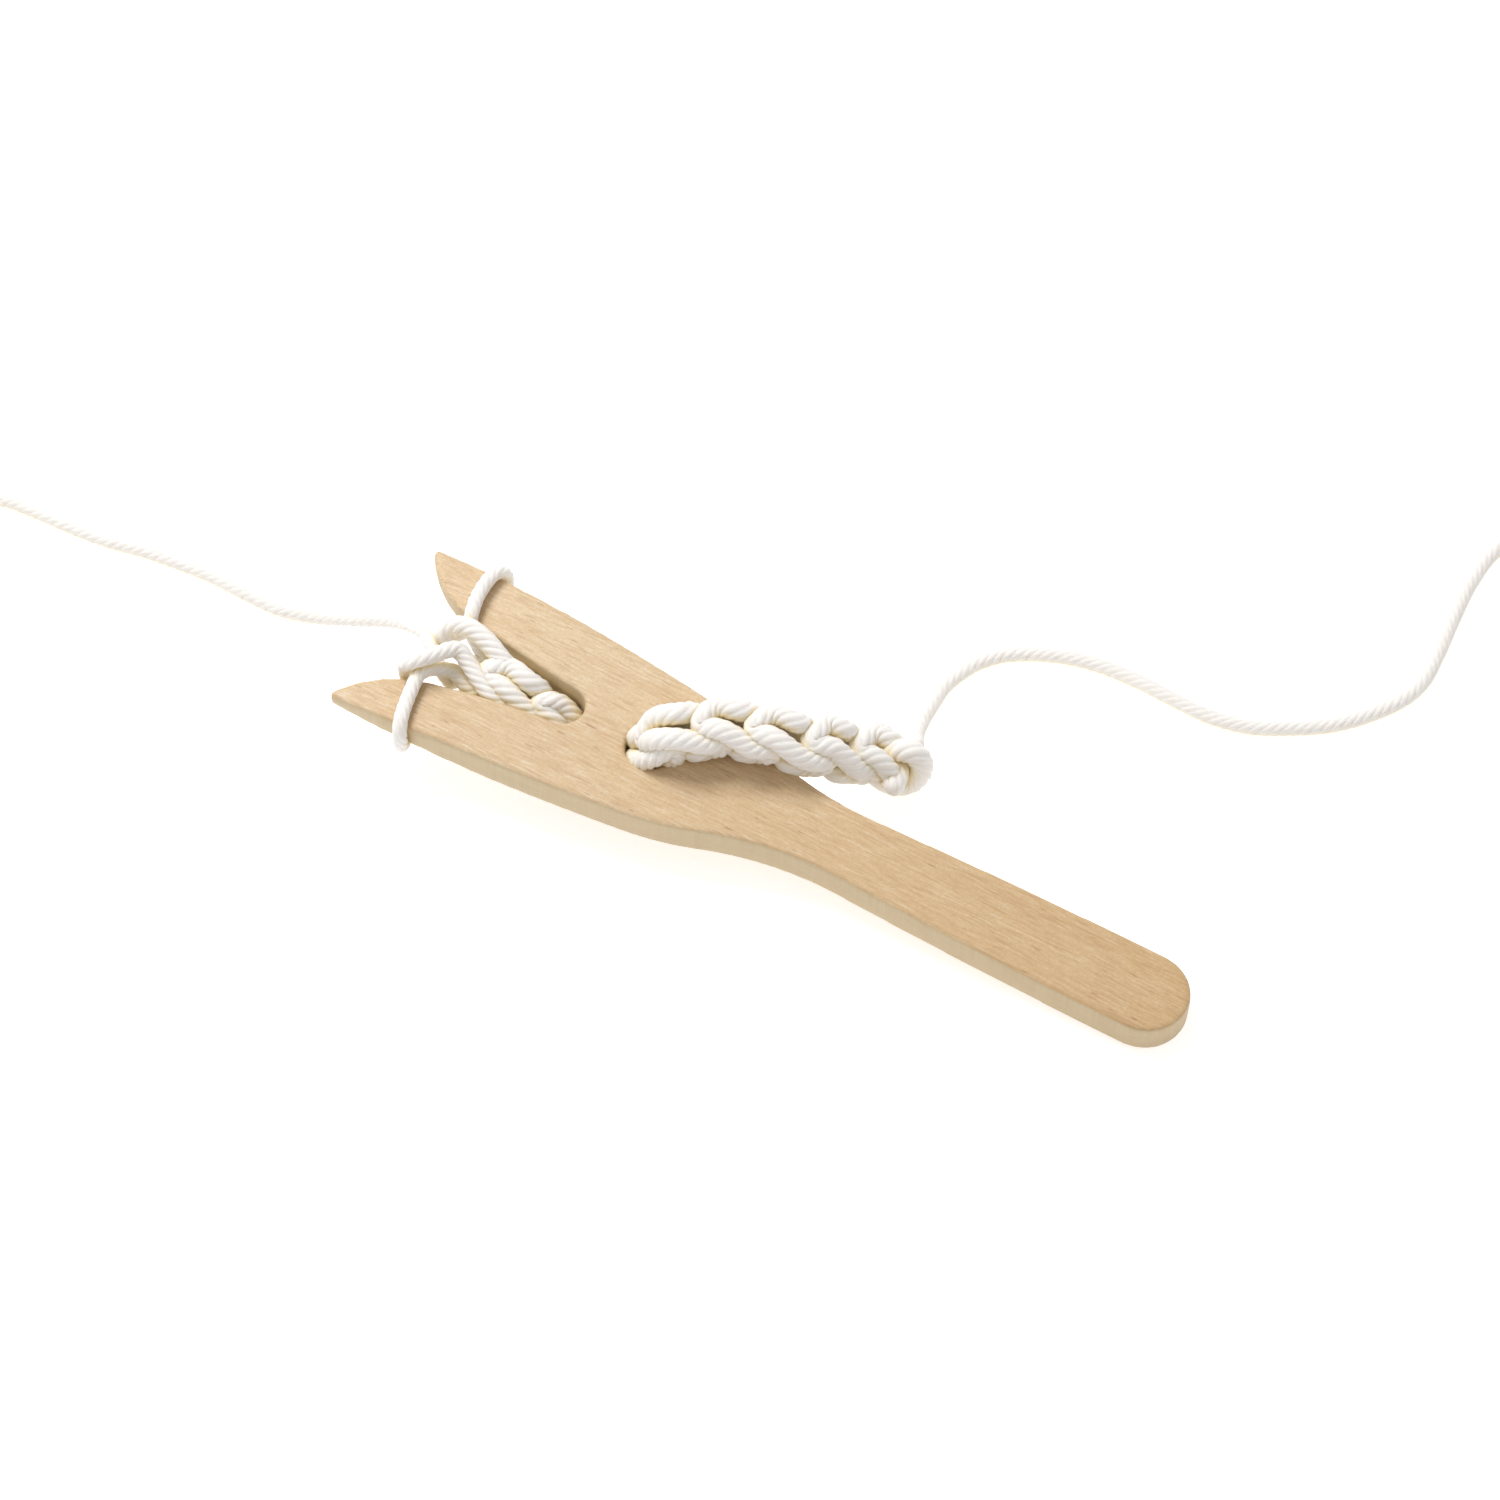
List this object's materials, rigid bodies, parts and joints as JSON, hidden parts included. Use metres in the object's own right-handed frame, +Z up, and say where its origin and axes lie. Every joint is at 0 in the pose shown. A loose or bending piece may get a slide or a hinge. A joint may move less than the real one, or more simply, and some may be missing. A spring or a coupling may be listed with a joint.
{
  "type": "lucet",
  "caption": "Flat wooden fork with a handle and a cord hole, for making square cord, with looped cotton yarn, a length of cord in progress and the yarn's loose ends.",
  "frame": {"origin": "on the table, below the middle of the fork's length and width", "axes": "+X from the prong tips to the handle, +Y to the side where the start of the cord lies, +Z up from the table"},
  "size_m": [0.3646, 0.189, 0.025],
  "materials": {
    "fork_wood": "sanded pale maple, unvarnished",
    "cotton_yarn": "soft plied cotton with a slight sheen"
  },
  "bodies": {
    "root": {"fork": "fork_wood", "near_prong_loop": "cotton_yarn", "far_prong_loop": "cotton_yarn", "lucet_cord": "cotton_yarn", "start_knot": "cotton_yarn", "tail_yarn": "cotton_yarn", "working_yarn": "cotton_yarn", "yarn_coil": "cotton_yarn"}
  },
  "joints": []
}
